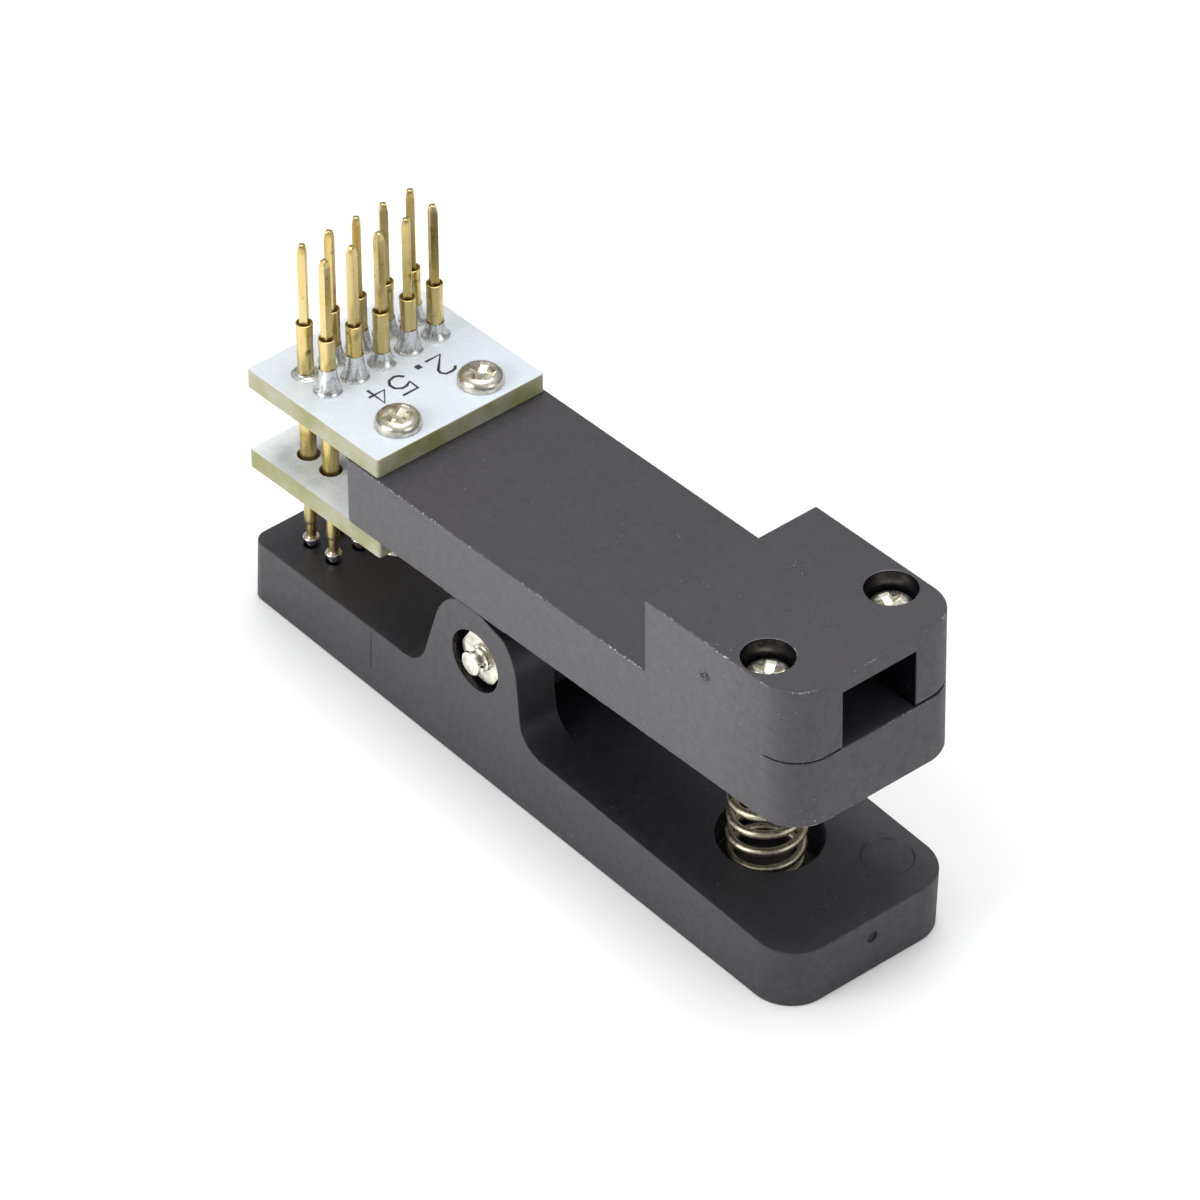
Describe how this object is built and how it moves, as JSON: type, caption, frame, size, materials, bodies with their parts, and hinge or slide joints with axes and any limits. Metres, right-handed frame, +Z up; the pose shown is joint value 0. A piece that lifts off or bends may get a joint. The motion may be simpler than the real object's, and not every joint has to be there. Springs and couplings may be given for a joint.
{
  "type": "pogo_pin_programming_clip",
  "caption": "Spring-loaded hinged clamp with a moulded handle, a cable block and rows of sprung contact probes held in circuit boards, for pressing onto a board edge to program it",
  "frame": {"origin": "on the underside of the lower lever, on the middle plane of its width, straight below the hinge screw's axis", "axes": "+X from the hinge along the lower lever towards the handle end, +Y across the clip from the nut side to the screw head side, +Z up from the lower lever's underside"},
  "size_m": [0.0603, 0.0167, 0.0327],
  "materials": {
    "black_nylon": "printed nylon, dyed black, mottled and slightly grainy",
    "white_board": "white solder mask on glass-fibre board with pale green-yellow edges",
    "nickel_screw": "nickel-plated steel",
    "spring_steel": "drawn spring wire, dark nickel",
    "solder": "tin solder, streaky silver",
    "gold_plate": "gold-plated brass, slightly dull",
    "bright_nickel": "bright nickel plate"
  },
  "bodies": {
    "base": {"lower_lever": "black_nylon", "pivot_screw": "nickel_screw", "pivot_nut": "nickel_screw", "return_spring": "spring_steel"},
    "arm": {"upper_lever": "black_nylon", "cable_block": "black_nylon", "block_screws": "nickel_screw", "upper_board": "white_board", "lower_board": "white_board", "board_screws": "nickel_screw", "board_nuts": "nickel_screw", "solder_joints": "solder", "receptacle_a1": "gold_plate", "receptacle_a2": "gold_plate", "receptacle_a3": "gold_plate", "receptacle_a4": "gold_plate", "receptacle_a5": "gold_plate", "receptacle_b1": "gold_plate", "receptacle_b2": "gold_plate", "receptacle_b3": "gold_plate", "receptacle_b4": "gold_plate", "receptacle_b5": "gold_plate", "probe_barrel_a1": "gold_plate", "probe_barrel_a2": "gold_plate", "probe_barrel_a3": "gold_plate", "probe_barrel_a4": "gold_plate", "probe_barrel_a5": "gold_plate", "probe_barrel_b1": "gold_plate", "probe_barrel_b2": "gold_plate", "probe_barrel_b3": "gold_plate", "probe_barrel_b4": "gold_plate", "probe_barrel_b5": "gold_plate", "probe_spring_a1": "spring_steel", "probe_spring_a2": "spring_steel", "probe_spring_a3": "spring_steel", "probe_spring_a4": "spring_steel", "probe_spring_a5": "spring_steel", "probe_spring_b1": "spring_steel", "probe_spring_b2": "spring_steel", "probe_spring_b3": "spring_steel", "probe_spring_b4": "spring_steel", "probe_spring_b5": "spring_steel"},
    "tip_a1": {"plunger_a1": "bright_nickel"},
    "tip_a2": {"plunger_a2": "bright_nickel"},
    "tip_a3": {"plunger_a3": "bright_nickel"},
    "tip_a4": {"plunger_a4": "bright_nickel"},
    "tip_a5": {"plunger_a5": "bright_nickel"},
    "tip_b1": {"plunger_b1": "bright_nickel"},
    "tip_b2": {"plunger_b2": "bright_nickel"},
    "tip_b3": {"plunger_b3": "bright_nickel"},
    "tip_b4": {"plunger_b4": "bright_nickel"},
    "tip_b5": {"plunger_b5": "bright_nickel"}
  },
  "joints": [
    {"name": "jaw_pivot", "type": "hinge", "parent": "base", "child": "arm", "pos_m": [0, 0, 0.0103], "axis": [0, 1, 0], "range_deg": [0, 19], "stiffness_Nm_per_rad": 0.5, "springref_deg": -5.73, "deforming": ["return_spring"]},
    {"name": "probe_a1", "type": "slide", "parent": "arm", "child": "tip_a1", "axis": [-0.0558, 0, 0.9984], "range_m": [0, 0.0012], "stiffness_N_per_m": 250, "deforming": ["probe_spring_a1"]},
    {"name": "probe_a2", "type": "slide", "parent": "arm", "child": "tip_a2", "axis": [-0.0558, 0, 0.9984], "range_m": [0, 0.0012], "stiffness_N_per_m": 250, "deforming": ["probe_spring_a2"]},
    {"name": "probe_a3", "type": "slide", "parent": "arm", "child": "tip_a3", "axis": [-0.0558, 0, 0.9984], "range_m": [0, 0.0012], "stiffness_N_per_m": 250, "deforming": ["probe_spring_a3"]},
    {"name": "probe_a4", "type": "slide", "parent": "arm", "child": "tip_a4", "axis": [-0.0558, 0, 0.9984], "range_m": [0, 0.0012], "stiffness_N_per_m": 250, "deforming": ["probe_spring_a4"]},
    {"name": "probe_a5", "type": "slide", "parent": "arm", "child": "tip_a5", "axis": [-0.0558, 0, 0.9984], "range_m": [0, 0.0012], "stiffness_N_per_m": 250, "deforming": ["probe_spring_a5"]},
    {"name": "probe_b1", "type": "slide", "parent": "arm", "child": "tip_b1", "axis": [-0.0558, 0, 0.9984], "range_m": [0, 0.0012], "stiffness_N_per_m": 250, "deforming": ["probe_spring_b1"]},
    {"name": "probe_b2", "type": "slide", "parent": "arm", "child": "tip_b2", "axis": [-0.0558, 0, 0.9984], "range_m": [0, 0.0012], "stiffness_N_per_m": 250, "deforming": ["probe_spring_b2"]},
    {"name": "probe_b3", "type": "slide", "parent": "arm", "child": "tip_b3", "axis": [-0.0558, 0, 0.9984], "range_m": [0, 0.0012], "stiffness_N_per_m": 250, "deforming": ["probe_spring_b3"]},
    {"name": "probe_b4", "type": "slide", "parent": "arm", "child": "tip_b4", "axis": [-0.0558, 0, 0.9984], "range_m": [0, 0.0012], "stiffness_N_per_m": 250, "deforming": ["probe_spring_b4"]},
    {"name": "probe_b5", "type": "slide", "parent": "arm", "child": "tip_b5", "axis": [-0.0558, 0, 0.9984], "range_m": [0, 0.0012], "stiffness_N_per_m": 250, "deforming": ["probe_spring_b5"]}
  ]
}
